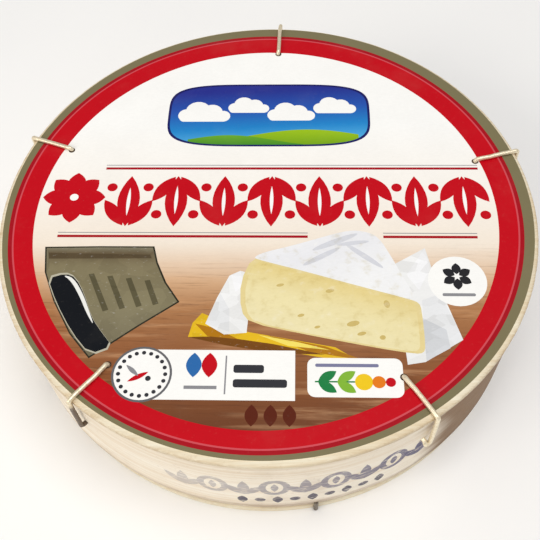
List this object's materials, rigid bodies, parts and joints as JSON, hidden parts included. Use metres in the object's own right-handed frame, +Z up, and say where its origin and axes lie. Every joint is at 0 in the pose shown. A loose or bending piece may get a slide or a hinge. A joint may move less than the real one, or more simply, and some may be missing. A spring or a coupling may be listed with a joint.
{
  "type": "shut round wooden camembert box",
  "caption": "Shut round cheese box of bent wood: a stapled lid with a printed paper label, pressed over a stapled base.",
  "frame": {"origin": "centre of the underside of the bottom disc, where the box stands", "axes": "+Z up along the axis of the round box; +Y towards the top edge of the label's print, and +X to its right"},
  "size_m": [0.115, 0.1157, 0.033],
  "materials": {
    "disc_wood": "matte",
    "hoop_wood": "matte",
    "label_print": "satin",
    "staple_wire": "satin"
  },
  "bodies": {
    "root": {"lid_disc": "disc_wood", "label": "label_print", "lid_hoop": "hoop_wood", "base": "hoop_wood", "base_disc": "disc_wood", "lid_staple_1": "staple_wire", "lid_staple_2": "staple_wire", "lid_staple_3": "staple_wire", "lid_staple_4": "staple_wire", "lid_staple_5": "staple_wire", "base_staple_1": "staple_wire", "base_staple_2": "staple_wire", "base_staple_3": "staple_wire", "base_staple_4": "staple_wire", "base_staple_5": "staple_wire"}
  },
  "joints": []
}
